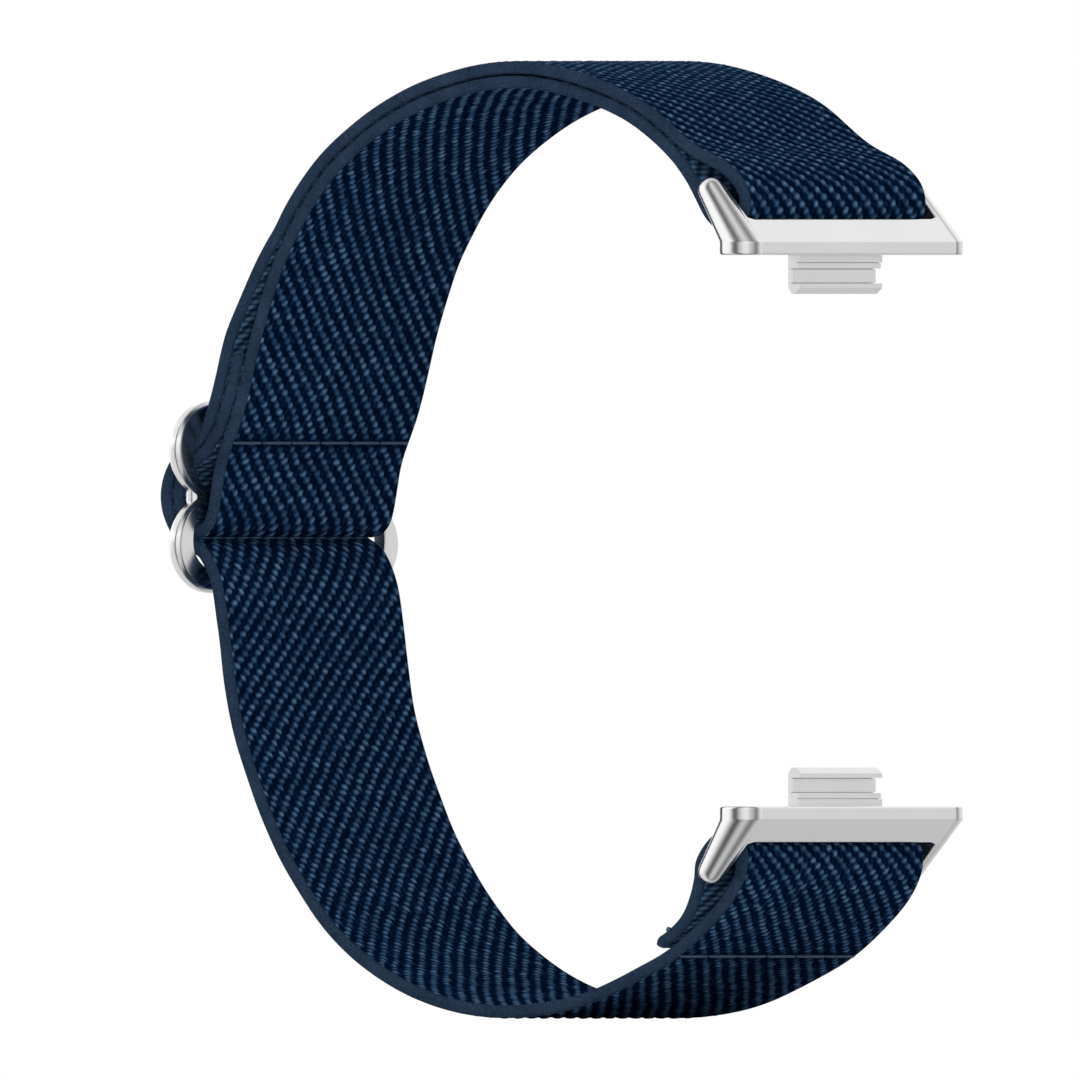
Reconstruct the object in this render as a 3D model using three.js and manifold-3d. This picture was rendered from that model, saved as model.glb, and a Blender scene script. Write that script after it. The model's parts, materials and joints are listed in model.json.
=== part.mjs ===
// Elastic woven band for a fitness tracker.
//
// One strip of webbing makes the loop. It starts at a hem sewn round the lower connector's spring bar,
// runs round the bottom, passes over the buckle's centre bar, climbs to the upper connector as the outer
// layer, turns round that connector's spring bar, comes back down as the inner layer, wraps the buckle's
// centre bar and is sewn to itself. It is modelled in stretches, because they follow different bodies.
//
// Millimetres. +Y runs across the band, +Z from the lower connector to the upper one, and +X from the
// buckle to the connectors. The origin is midway between the two connectors, inside the loop.
import * as THREE from 'three';
import { ConvexGeometry } from 'three/addons/geometries/ConvexGeometry.js';
import { mergeVertices } from 'three/addons/utils/BufferGeometryUtils.js';
import Module from 'manifold-3d';

const wasm = await Module();
wasm.setup();

// ---------- driving dimensions ----------
const WEB_WIDTH = 28;
const WEB_THICKNESS = 1.0;
const LAYER_PITCH = 1.12; // one layer and the air beside it
const JOIN_GAP = 0.12; // between two stretches of webbing, end to end

const SEAT_Z = 21.65; // the faces that meet the tracker are at plus and minus this height
const PLUG_END_Z = 18.6;

const BUCKLE_X = -27.1; // outer face
const BUCKLE_THICKNESS = 1.1;
const BUCKLE_BAR_Z = 2.65;

const SPRING_BAR = new THREE.Vector2(21.65, 25.7); // X and Z of the upper connector's bar axis
const CIRCLE_SIDES = 16;

// ---------- materials ----------
function metal(color, roughness) {
  return new THREE.MeshStandardMaterial({ color, roughness, metalness: 1 });
}

function cloth(color) {
  return new THREE.MeshStandardMaterial({ color, roughness: 0.9, metalness: 0 });
}

const navyWebbing = cloth(0x0f2138);
const stitchThread = cloth(0x2f4560);
const satinSteel = metal(0xd4d6d8, 0.28);
const springSteel = metal(0xa9abae, 0.4);

// ---------- the object ----------
const band = new THREE.Group();

function add(name, geometry, material) {
  const mesh = new THREE.Mesh(geometry, material);
  mesh.name = name;
  band.add(mesh);
}

// ---------- solids and booleans ----------
function toSolid(geometry) {
  const bare = geometry.index ? geometry.toNonIndexed() : geometry.clone();
  bare.deleteAttribute('normal');
  bare.deleteAttribute('uv');
  const merged = mergeVertices(bare, 1e-4);
  return new wasm.Manifold(new wasm.Mesh({
    numProp: 3,
    vertProperties: new Float32Array(merged.attributes.position.array),
    triVerts: new Uint32Array(merged.index.array),
  }));
}

function toGeometry(solid) {
  const { vertProperties, triVerts } = solid.getMesh();
  const geometry = new THREE.BufferGeometry();
  geometry.setAttribute('position', new THREE.BufferAttribute(vertProperties, 3));
  geometry.setIndex(new THREE.BufferAttribute(triVerts, 1));
  return geometry;
}

function box(low, high) {
  const size = high.map((value, axis) => value - low[axis]);
  const middle = high.map((value, axis) => (value + low[axis]) / 2);
  return new THREE.BoxGeometry(...size).translate(...middle);
}

// A round solid along Y, turned from a closed profile of [radius, y] pairs.
function turnedAlongY(profile, [x, z] = SPRING_BAR.toArray()) {
  const points = profile.map(([radius, y]) => new THREE.Vector2(radius, y));
  return new THREE.LatheGeometry(points, CIRCLE_SIDES).translate(x, 0, z);
}

function rodAlongY(radius, y0, y1) {
  return turnedAlongY([[0, y0], [radius, y0], [radius, y1], [0, y1]]);
}

// The lower connector's parts are the upper one's, mirrored top to bottom.
function mirroredInZ(geometry) {
  const copy = geometry.index ? geometry.toNonIndexed() : geometry.clone();
  const position = copy.attributes.position;
  for (let i = 0; i < position.count; i += 3) {
    const [a, b, c] = [0, 1, 2].map((k) => new THREE.Vector3().fromBufferAttribute(position, i + k));
    [a, c, b].forEach((corner, k) => position.setXYZ(i + k, corner.x, corner.y, -corner.z));
  }
  copy.deleteAttribute('normal');
  copy.deleteAttribute('uv');
  return copy;
}

// ---------- webbing ----------
// Routes are in the XZ plane, as Vector2(x, z).
function route(points, steps) {
  const curve = new THREE.CatmullRomCurve3(points.map(([x, z]) => new THREE.Vector3(x, 0, z)));
  return curve.getSpacedPoints(steps).map(({ x, z }) => new THREE.Vector2(x, z));
}

function normals(line) {
  return line.map((_, i) => {
    const ahead = line[Math.min(i + 1, line.length - 1)];
    const behind = line[Math.max(i - 1, 0)];
    const along = ahead.clone().sub(behind).normalize();
    return new THREE.Vector2(along.y, -along.x); // to the right of the way the route runs
  });
}

function offsetLine(line, distance) {
  const sideways = normals(line);
  return line.map((point, i) => {
    const shift = typeof distance === 'function' ? distance(point) : distance;
    return point.clone().addScaledVector(sideways[i], shift);
  });
}

// The part of a line between two of its points, with half a join gap taken off each cut end.
function stretch(line, from, to) {
  const piece = line.slice(from, to + 1);
  const last = piece.length - 1;
  const trim = (end, inner) => end.clone().addScaledVector(inner.clone().sub(end).normalize(), JOIN_GAP / 2);
  piece[0] = trim(piece[0], piece[1]);
  piece[last] = trim(piece[last], piece[last - 1]);
  return piece;
}

function indexNear(line, x, z) {
  const target = new THREE.Vector2(x, z);
  const distances = line.map((point) => point.distanceTo(target));
  return distances.indexOf(Math.min(...distances));
}

function webbing(line) {
  const edgeA = offsetLine(line, WEB_THICKNESS / 2);
  const edgeB = offsetLine(line, -WEB_THICKNESS / 2).reverse();
  return alongY(new THREE.Shape([...edgeA, ...edgeB]), WEB_WIDTH);
}

// Extrudes a shape drawn in the XZ plane along Y, centred on Y = 0.
function alongY(shape, width) {
  const geometry = new THREE.ExtrudeGeometry(shape, { depth: width, bevelEnabled: false, curveSegments: 6 });
  return geometry.rotateX(Math.PI / 2).translate(0, width / 2, 0);
}

// The inner layer, from the upper connector over the top and down to the buckle, then round its centre bar.
const innerRoute = route([
  [19.3, 26.1], [18.3, 27.8], [16.8, 29.6], [13.1, 32.4], [8.0, 34.4], [2.9, 35.25], [-2.1, 34.75],
  [-8.3, 32.55], [-14.3, 28.2], [-18.4, 22.3], [-21.0, 15.6], [-22.3, 10.7], [-22.95, 8.7], [-23.62, 7.0],
  [-24.1, 5.75], [-24.4, 4.7], [-24.65, 3.4], [-24.87, 2.2], [-25.1, 1.2], [-25.5, 0.45], [-26.2, 0.0],
  [-26.95, 0.2], [-27.55, 0.9], [-27.95, 1.75], [-28.1, 2.85], [-27.85, 4.0], [-27.2, 5.0], [-26.4, 5.65],
  [-25.65, 6.25], [-25.1, 7.1],
], 140);
const creaseIndex = indexNear(innerRoute, -25.3, 1.0);
const wrapStartIndex = indexNear(innerRoute, -26.2, 0.0);
const wrapEndIndex = innerRoute.length - 1;
const tailBottomIndex = indexNear(innerRoute, -23.45, 7.5);
const tailTopIndex = indexNear(innerRoute, -21.3, 14.2);
const layersPartIndex = indexNear(innerRoute, 16.0, 30.3);

const innerLayer = stretch(innerRoute, 0, creaseIndex);
const innerWrap = stretch(innerRoute, creaseIndex, wrapEndIndex);

// The end of the webbing, sewn to the back of the inner layer above the buckle.
const tail = stretch(offsetLine(innerRoute, LAYER_PITCH).slice(tailTopIndex, tailBottomIndex + 1), 0,
  tailBottomIndex - tailTopIndex);

// The outer layer lies over the tail, then comes down onto the inner layer above it.
const TAPER_BOTTOM_Z = 14.2;
const TAPER_TOP_Z = 23.0;
function outerOffset({ y: z }) {
  const overTail = 1 - THREE.MathUtils.clamp((z - TAPER_BOTTOM_Z) / (TAPER_TOP_Z - TAPER_BOTTOM_Z), 0, 1);
  return LAYER_PITCH * (1 + overTail);
}
const overInner = offsetLine(innerRoute.slice(layersPartIndex, tailBottomIndex + 1), outerOffset);
const shoulder = route([[22.95, 26.95], [22.25, 27.8], [21.3, 28.55], [20.2, 29.1], [19.1, 29.6], [17.9, 30.3]], 10);
const outerLayer = stretch([...shoulder, ...overInner], 0, shoulder.length + overInner.length - 1);

// The outer wrap covers the inner one round the centre bar.
const outerWrap = stretch(offsetLine(innerRoute, -LAYER_PITCH), wrapStartIndex, wrapEndIndex);

// The single layer, from the buckle's lower slot round the bottom to the lower connector.
const lowerBand = route([
  [-25.9, -1.75], [-25.6, -2.15], [-25.15, -2.95], [-24.65, -4.3], [-24.1, -7.4], [-22.95, -14.7],
  [-21.0, -20.4], [-18.3, -25.85], [-14.1, -31.45], [-9.9, -34.65], [-5.7, -36.6], [-1.4, -37.6],
  [3.0, -37.75], [8.4, -36.9], [13.65, -34.8], [17.3, -32.85], [21.35, -29.3], [22.75, -27.15],
], 60);

// The hem, folded back inside the lower layer and sewn to it.
const hem = route([[15.4, -32.55], [16.85, -31.6], [18.0, -30.4], [18.8, -28.7], [19.15, -27.4], [19.3, -26.1]], 14);

// The webbing's turns round the two spring bars.
const endLoop = route([
  [19.3, 26.1], [20.0, 24.95], [20.75, 24.25], [21.65, 24.0], [22.5, 24.2], [23.1, 24.9],
  [23.25, 25.9], [22.95, 26.95],
], 20);
const lowerEndLoop = route([
  [19.3, -26.1], [20.0, -24.95], [20.75, -24.3], [21.6, -24.1], [22.4, -24.35], [22.9, -25.0],
  [23.03, -25.9], [22.75, -27.15],
], 20);

add('lower_hem', webbing(hem), navyWebbing);
add('lower_end_loop', webbing(stretch(lowerEndLoop, 1, 19)), navyWebbing);
add('lower_band', webbing(lowerBand), navyWebbing);
add('outer_wrap', webbing(outerWrap), navyWebbing);
add('upper_outer_layer', webbing(outerLayer), navyWebbing);
add('upper_end_loop', webbing(stretch(endLoop, 1, 19)), navyWebbing);
add('upper_inner_layer', webbing(innerLayer), navyWebbing);
add('inner_wrap', webbing(innerWrap), navyWebbing);
add('sewn_tail', webbing(tail), navyWebbing);

// ---------- seams ----------
const THREAD = 0.25;
const SEAM_WIDTH = 27;
const SEAM_CLEARANCE = 0.06;

// A stitch line across the band, lying on one face of a stretch of webbing.
function seam(line, x, z, side) {
  const i = indexNear(line, x, z);
  const lift = side * (WEB_THICKNESS / 2 + SEAM_CLEARANCE + THREAD / 2);
  const centre = offsetLine(line, lift)[i];
  const half = THREAD / 2;
  return box([centre.x - half, -SEAM_WIDTH / 2, centre.y - half], [centre.x + half, SEAM_WIDTH / 2, centre.y + half]);
}

add('tail_seam', seam(innerRoute, -23.6, 7.05, -1), stitchThread);
add('hem_seam', seam(lowerBand, 17.0, -33.0, 1), stitchThread);

// ---------- buckle ----------
// One casting: two rounded windows, one over the other, with the centre bar between them. Its outlines
// are drawn in the YZ plane about the bar.
function quarter(y, z, radiusY, radiusZ, sweep = Math.PI / 2) {
  const steps = 8;
  return Array.from({ length: steps + 1 }, (_, i) => {
    const angle = (i / steps) * sweep;
    return [y + radiusY * Math.cos(angle), z + radiusZ * Math.sin(angle)];
  });
}

// A closed outline, from the points of its right half listed upwards.
function mirroredOutline(half) {
  const left = half.map(([y, z]) => [-y, z]).reverse();
  return [...half, ...left].map(([y, z]) => new THREE.Vector2(y, z));
}

function buckle() {
  const straight = 11.5; // half length of the straight rails
  const lobeZ = 3.75; // each lobe's widest level, above or below the bar
  const outer = { end: 5.9, rail: 3.8, waist: 3.94 };
  const neckZ = 0.47;
  const neckSweep = Math.asin((lobeZ - neckZ) / outer.waist);
  const towardsWaist = quarter(straight, lobeZ, outer.end, -outer.waist, neckSweep).reverse();
  const towardsRail = quarter(straight, lobeZ, outer.end, outer.rail).slice(1);
  const upperLobe = [...towardsWaist, ...towardsRail];
  const lowerLobe = upperLobe.map(([y, z]) => [y, -z]).reverse();
  const outline = new THREE.Shape(mirroredOutline([...lowerLobe, ...upperLobe]));

  const barHalf = 0.48;
  const railInner = 5.75;
  const windowZ = 3.45;
  const windowEnd = 3.55;
  const lowerCorner = quarter(straight, windowZ, windowEnd, barHalf - windowZ).reverse();
  const upperCorner = quarter(straight, windowZ, windowEnd, railInner - windowZ).slice(1);
  const upperWindow = [...lowerCorner, ...upperCorner];
  const lowerWindow = upperWindow.map(([y, z]) => [y, -z]).reverse();
  outline.holes = [upperWindow, lowerWindow].map((half) => new THREE.Path(mirroredOutline(half)));

  const geometry = new THREE.ExtrudeGeometry(outline, { depth: BUCKLE_THICKNESS, bevelEnabled: false });
  const toYZPlane = new THREE.Matrix4().set(0, 0, 1, 0, 1, 0, 0, 0, 0, 1, 0, 0, 0, 0, 0, 1);
  return geometry.applyMatrix4(toYZPlane).translate(BUCKLE_X, 0, BUCKLE_BAR_Z);
}

add('buckle', buckle(), satinSteel);

// ---------- connectors ----------
// A slab with rounded ends and two arms that lean in over the band. The arms hold the spring bar.
const FOOT = { x: 24.05, y: 15.7, radius: 1.7 };
const TIP = { x: 21.35, y: 15.55, z: 26.65, radius: 1.1 };
const LEAN_START_Z = 22.7;
const SLAB_TOP_Z = 24.5;
const ARM_GAP_HALF = 14.75; // the arms' flat inner faces
const LOOP_ROOM = 2.65; // radius of the hollow that the webbing turns in
const SOCKET = { radius: 0.47, depth: 1.3 };
const PLUG = { width: 12.9, back: 22.95, front: 24.05 };
const PLUG_DEPTH = 0.8; // how far the plug reaches into its pocket in the slab
const PLUG_CLEARANCE = 0.1;

function ringPoints(x, y, z, radius) {
  return Array.from({ length: CIRCLE_SIDES }, (_, i) => {
    const angle = ((i + 0.5) / CIRCLE_SIDES) * Math.PI * 2;
    return new THREE.Vector3(x + radius * Math.cos(angle), y + radius * Math.sin(angle), z);
  });
}

// The outline of the leaning part at one level: both rounded ends.
function footprint(z) {
  const rise = Math.max(0, (z - LEAN_START_Z) / (TIP.z - LEAN_START_Z));
  const x = THREE.MathUtils.lerp(FOOT.x, TIP.x, rise);
  const y = THREE.MathUtils.lerp(FOOT.y, TIP.y, rise);
  const radius = THREE.MathUtils.lerp(FOOT.radius, TIP.radius, rise);
  return [...ringPoints(x, y, z, radius), ...ringPoints(x, -y, z, radius)];
}

function arm(side) {
  const foot = footprint(LEAN_START_Z).filter((point) => point.y * side > 0);
  const ball = new THREE.SphereGeometry(TIP.radius, CIRCLE_SIDES, 8).translate(TIP.x, side * TIP.y, TIP.z);
  const position = ball.attributes.position;
  const tip = Array.from({ length: position.count }, (_, i) => new THREE.Vector3().fromBufferAttribute(position, i));
  return new ConvexGeometry([...foot, ...tip]);
}

function connectorFrame() {
  const slab = toSolid(new ConvexGeometry([...footprint(SEAT_Z), ...footprint(LEAN_START_Z)]));
  const ramp = toSolid(new ConvexGeometry([...footprint(LEAN_START_Z), ...footprint(SLAB_TOP_Z)]));
  const arms = [1, -1].map((side) => toSolid(arm(side)));
  const hollow = toSolid(rodAlongY(LOOP_ROOM, -ARM_GAP_HALF, ARM_GAP_HALF));
  const between = toSolid(box([15, -ARM_GAP_HALF, SLAB_TOP_Z], [30, ARM_GAP_HALF, 30]));
  const pocketHalf = PLUG.width / 2 + PLUG_CLEARANCE;
  const pocket = toSolid(box([PLUG.back - PLUG_CLEARANCE, -pocketHalf, SEAT_Z - 1],
    [PLUG.front + PLUG_CLEARANCE, pocketHalf, SEAT_Z + PLUG_DEPTH + PLUG_CLEARANCE]));
  let frame = slab.add(ramp).add(arms[0]).add(arms[1]).subtract(hollow).subtract(between).subtract(pocket);
  for (const side of [1, -1]) {
    const ends = [ARM_GAP_HALF - 1, ARM_GAP_HALF + SOCKET.depth].map((y) => y * side).sort((a, b) => a - b);
    frame = frame.subtract(toSolid(rodAlongY(SOCKET.radius, ...ends)));
  }
  return toGeometry(frame);
}

// The plug that slides into the tracker's slot: two ledges, a groove that the catch drops into, and a
// chamfered lip.
function plug() {
  const top = SEAT_Z + PLUG_DEPTH;
  const { back, front, width } = PLUG;
  const profile = new THREE.Shape([
    [back, top], [back, PLUG_END_Z + 0.5], [back + 0.3, PLUG_END_Z], [front - 0.5, PLUG_END_Z],
    [front, 19.06], [front, 19.42], [front - 0.6, 19.42], [front - 0.6, 20.6], [front - 0.12, 20.6],
    [front - 0.12, 21.08], [front, 21.08], [front, top],
  ].map(([x, z]) => new THREE.Vector2(x, z)));
  return alongY(profile, width);
}

// ---------- spring bars ----------
// A tube with rolled-in ends, a coil spring inside, and a sprung tip at each end that sits in an arm's
// socket. Pressing a tip in by TIP_TRAVEL frees the bar.
const TUBE = { radius: 0.8, bore: 0.62, half: 14.4, lip: 0.5, lipBore: 0.48 };
const TIP_TRAVEL = 1.1;
const TIP_PIVOT_RADIUS = 0.4;
const TIP_HEAD = { radius: 0.55, length: 2.0 };
const TIP_END_Y = ARM_GAP_HALF + 1.0;
const TUBE_INNER_END = TUBE.half - TUBE.lip;

function springBarTube() {
  const { radius, bore, half, lipBore } = TUBE;
  const inner = TUBE_INNER_END;
  return turnedAlongY([
    [lipBore, -half], [radius, -half], [radius, half], [lipBore, half], [lipBore, inner], [bore, inner],
    [bore, -inner], [lipBore, -inner], [lipBore, -half],
  ]);
}

function springBarTip(side) {
  const headEnd = TUBE_INNER_END - 0.05;
  const headStart = headEnd - TIP_HEAD.length;
  const profile = [
    [0, headStart], [TIP_HEAD.radius, headStart], [TIP_HEAD.radius, headEnd], [TIP_PIVOT_RADIUS, headEnd],
    [TIP_PIVOT_RADIUS, TIP_END_Y - 0.15], [TIP_PIVOT_RADIUS - 0.15, TIP_END_Y], [0, TIP_END_Y],
  ];
  if (side > 0) return turnedAlongY(profile);
  return turnedAlongY(profile.map(([radius, y]) => [radius, -y]).reverse());
}

class Helix extends THREE.Curve {
  constructor(radius, turns, half) {
    super();
    Object.assign(this, { radius, turns, half });
  }

  getPoint(t, target = new THREE.Vector3()) {
    const angle = t * this.turns * Math.PI * 2;
    const x = SPRING_BAR.x + this.radius * Math.cos(angle);
    const z = SPRING_BAR.y + this.radius * Math.sin(angle);
    return target.set(x, (2 * t - 1) * this.half, z);
  }
}

function springBarCoil() {
  const turns = 8;
  const wire = 0.1;
  const half = TUBE_INNER_END - TIP_HEAD.length - 0.05 - TIP_TRAVEL - 0.15;
  const corners = [[wire, 0], [0, wire], [-wire, 0], [0, -wire]];
  const section = new THREE.Shape(corners.map(([u, v]) => new THREE.Vector2(u, v)));
  const extrudePath = new Helix(0.4, turns, half);
  return new THREE.ExtrudeGeometry(section, { steps: turns * 8, bevelEnabled: false, extrudePath });
}

const connectorParts = [
  ['connector_frame', connectorFrame(), satinSteel],
  ['plug', plug(), satinSteel],
  ['spring_bar_tube', springBarTube(), springSteel],
  ['spring_bar_coil', springBarCoil(), springSteel],
  ['spring_bar_front_tip', springBarTip(-1), springSteel],
  ['spring_bar_back_tip', springBarTip(1), springSteel],
];
for (const [name, geometry, material] of connectorParts) {
  add(`upper_${name}`, geometry, material);
  add(`lower_${name}`, mirroredInZ(geometry), material);
}

export default band;
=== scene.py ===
"""The looks of the elastic woven band: webbing, seams, buckle, connectors, plugs and spring bars.

Lengths in this file are millimetres, in the frame of the CAD model, and become metres where a mesh is
made. +Y runs across the band, +Z from the lower connector to the upper one, +X from buckle to connectors.
"""

import json
import math

import bpy
import numpy as np
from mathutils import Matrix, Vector

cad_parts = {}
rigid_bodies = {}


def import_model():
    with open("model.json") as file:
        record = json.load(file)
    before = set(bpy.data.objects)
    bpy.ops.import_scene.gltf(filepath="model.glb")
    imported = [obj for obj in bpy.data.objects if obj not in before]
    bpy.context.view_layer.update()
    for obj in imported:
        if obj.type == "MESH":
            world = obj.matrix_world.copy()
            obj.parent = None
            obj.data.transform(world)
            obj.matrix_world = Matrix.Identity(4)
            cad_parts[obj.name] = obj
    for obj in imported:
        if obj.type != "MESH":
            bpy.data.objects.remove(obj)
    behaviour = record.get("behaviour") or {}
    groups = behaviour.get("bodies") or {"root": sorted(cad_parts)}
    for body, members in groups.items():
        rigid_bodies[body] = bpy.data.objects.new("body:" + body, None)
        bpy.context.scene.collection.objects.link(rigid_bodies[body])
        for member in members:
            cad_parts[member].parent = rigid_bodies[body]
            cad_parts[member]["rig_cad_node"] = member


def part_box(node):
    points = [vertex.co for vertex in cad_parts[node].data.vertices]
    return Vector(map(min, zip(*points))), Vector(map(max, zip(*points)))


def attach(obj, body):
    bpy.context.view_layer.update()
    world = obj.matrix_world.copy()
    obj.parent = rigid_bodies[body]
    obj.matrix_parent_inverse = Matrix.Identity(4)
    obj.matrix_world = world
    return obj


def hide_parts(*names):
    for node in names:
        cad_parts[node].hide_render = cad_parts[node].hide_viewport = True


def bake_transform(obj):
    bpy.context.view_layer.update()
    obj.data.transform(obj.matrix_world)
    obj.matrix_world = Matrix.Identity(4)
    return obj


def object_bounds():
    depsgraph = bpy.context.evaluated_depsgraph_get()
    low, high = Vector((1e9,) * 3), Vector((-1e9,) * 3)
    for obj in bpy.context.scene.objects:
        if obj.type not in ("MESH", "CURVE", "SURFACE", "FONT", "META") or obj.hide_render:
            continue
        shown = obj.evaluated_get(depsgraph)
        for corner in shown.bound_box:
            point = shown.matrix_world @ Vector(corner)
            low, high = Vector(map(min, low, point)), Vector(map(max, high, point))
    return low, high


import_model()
cad_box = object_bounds()
MM = 0.001


def box_mm(node):
    """Lowest and highest corner of a CAD node, in millimetres."""
    return [np.array(corner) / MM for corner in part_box(node)]


# ---------- driving dimensions, repeated from the CAD ----------
WEB_HALF_WIDTH = box_mm("lower_band")[1][1]
WEB_HALF_THICKNESS = 0.5
LAYER_PITCH = 1.12
SEAT_Z = box_mm("upper_connector_frame")[0][2]
BAR_X, BAR_Z = (sum(box_mm("upper_spring_bar_tube")) / 2)[[0, 2]]
GUIDE_STEP = 0.05  # between the points of a line that another line is laid out from
STRIP_STEP = 0.04  # between the points of the strip's own line


# ---------- meshes ----------
def mesh_object(name, points, faces, normals=None):
    """A mesh from points in millimetres and an array of faces that all have the same number of corners."""
    points = np.asarray(points, float) * MM
    faces = np.asarray(faces, np.int32)
    corners = faces.shape[1]
    mesh = bpy.data.meshes.new(name)
    mesh.vertices.add(len(points))
    mesh.vertices.foreach_set("co", points.astype(np.float32).ravel())
    mesh.loops.add(faces.size)
    mesh.loops.foreach_set("vertex_index", faces.ravel())
    mesh.polygons.add(len(faces))
    mesh.polygons.foreach_set("loop_start", np.arange(0, faces.size, corners, dtype=np.int32))
    mesh.update(calc_edges=True)
    mesh.validate()
    mesh.polygons.foreach_set("use_smooth", np.ones(len(mesh.polygons), bool))
    if normals is not None:
        mesh.normals_split_custom_set_from_vertices([tuple(n) for n in normals])
    piece = bpy.data.objects.new(name, mesh)
    bpy.context.scene.collection.objects.link(piece)
    return piece


def add_values(piece, name, values):
    """Stores one number for each vertex, which a material reads."""
    attribute = piece.data.attributes.new(name, "FLOAT", "POINT")
    attribute.data.foreach_set("value", np.asarray(values, np.float32))


def dress(piece, slot, *materials):
    """Gives a piece its materials. The slot argument is not used."""
    piece.data.materials.clear()
    for material in materials:
        piece.data.materials.append(material)


def rings_to_faces(rings, around):
    """Quads between successive rings of points."""
    row = np.arange(rings - 1)[:, None] * around
    column = np.arange(around)[None, :]
    beside = (column + 1) % around
    corners = [row + column, row + beside, row + around + beside, row + around + column]
    return np.stack(corners, -1).reshape(-1, 4)


# ---------- the strip's route ----------
def curve_through(points, spacing=GUIDE_STEP):
    """A centripetal Catmull-Rom curve through the points, resampled at an even spacing.
    Returns the curve and the distance along it at each of the given points."""
    points = np.asarray(points, float)
    first, last = 2 * points[0] - points[1], 2 * points[-1] - points[-2]
    padded = np.vstack([first, points, last])
    samples, marks = [], [0]
    for before, start, end, after in zip(padded, padded[1:], padded[2:], padded[3:]):
        k0, k1, k2 = (max(np.linalg.norm(b - a), 1e-6) ** 0.5
                      for a, b in ((before, start), (start, end), (end, after)))
        leaving = ((start - before) / k0 - (end - before) / (k0 + k1) + (end - start) / k1) * k1
        arriving = ((end - start) / k1 - (after - start) / (k1 + k2) + (after - end) / k2) * k1
        t = np.linspace(0, 1, 40, endpoint=False)[:, None]
        bend = (2 * start - 2 * end + leaving + arriving) * t**3
        bend = bend + (-3 * start + 3 * end - 2 * leaving - arriving) * t**2
        samples.append(bend + leaving * t + start)
        marks.append(marks[-1] + 40)
    line = np.vstack(samples + [points[-1:]])
    lengths = np.concatenate([[0], np.cumsum(np.linalg.norm(np.diff(line, axis=0), axis=1))])
    even = np.arange(0, lengths[-1], spacing)
    resampled = np.stack([np.interp(even, lengths, line[:, axis]) for axis in (0, 1)], 1)
    return resampled, lengths[marks]


def left_of(line):
    """Unit normals to the left of the way a line of XZ points runs."""
    along = np.gradient(line, axis=0)
    along /= np.linalg.norm(along, axis=1)[:, None]
    return np.stack([-along[:, 1], along[:, 0]], 1)


def shifted(line, distance):
    """The line moved to its left by a distance, one for all points or one for each."""
    return line + left_of(line) * np.asarray(distance).reshape(-1, 1)


def nearest(line, x, z):
    """The index of the line's point that is nearest to a place."""
    return int(np.argmin(np.hypot(line[:, 0] - x, line[:, 1] - z)))


def thinned(line, spacing):
    """The points of an evenly sampled line that lie about this far apart."""
    return line[:: round(spacing / GUIDE_STEP)]


# Points (x, z) on the middle of the webbing's thickness.
HEM = [(15.4, -32.55), (16.85, -31.6), (18.0, -30.4), (18.8, -28.7), (19.15, -27.4), (19.3, -26.1)]
END_LOOP = [(20.0, 24.95), (20.75, 24.25), (21.65, 24.0), (22.5, 24.2), (23.1, 24.9), (23.25, 25.9)]
LOWER_END_LOOP = [
    (20.0, -24.95), (20.75, -24.3), (21.6, -24.1), (22.4, -24.35), (22.9, -25.0), (23.03, -25.9),
]
LOWER_BAND = [
    (22.75, -27.15), (21.35, -29.3), (17.3, -32.85), (13.65, -34.8), (8.4, -36.9), (3.0, -37.75),
    (-1.4, -37.6), (-5.7, -36.6), (-9.9, -34.65), (-14.1, -31.45), (-18.3, -25.85), (-21.0, -20.4),
    (-22.95, -14.7), (-24.1, -7.4), (-24.65, -4.3), (-25.15, -2.95), (-25.6, -2.15), (-25.9, -1.75),
]
SHOULDER = [(17.9, 30.3), (19.1, 29.6), (20.2, 29.1), (21.3, 28.55), (22.25, 27.8), (22.95, 26.95)]
INNER = [
    (19.3, 26.1), (18.3, 27.8), (16.8, 29.6), (13.1, 32.4), (8.0, 34.4), (2.9, 35.25), (-2.1, 34.75),
    (-8.3, 32.55), (-14.3, 28.2), (-18.4, 22.3), (-21.0, 15.6), (-22.3, 10.7), (-22.95, 8.7), (-23.62, 7.0),
    (-24.1, 5.75), (-24.4, 4.7), (-24.65, 3.4), (-24.87, 2.2), (-25.1, 1.2), (-25.5, 0.45), (-26.2, 0.0),
    (-26.95, 0.2), (-27.55, 0.9), (-27.95, 1.75), (-28.1, 2.85), (-27.85, 4.0), (-27.2, 5.0), (-26.4, 5.65),
    (-25.65, 6.25), (-25.1, 7.1),
]
TAPER_BOTTOM_Z, TAPER_TOP_Z = 14.2, 23.0


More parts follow.
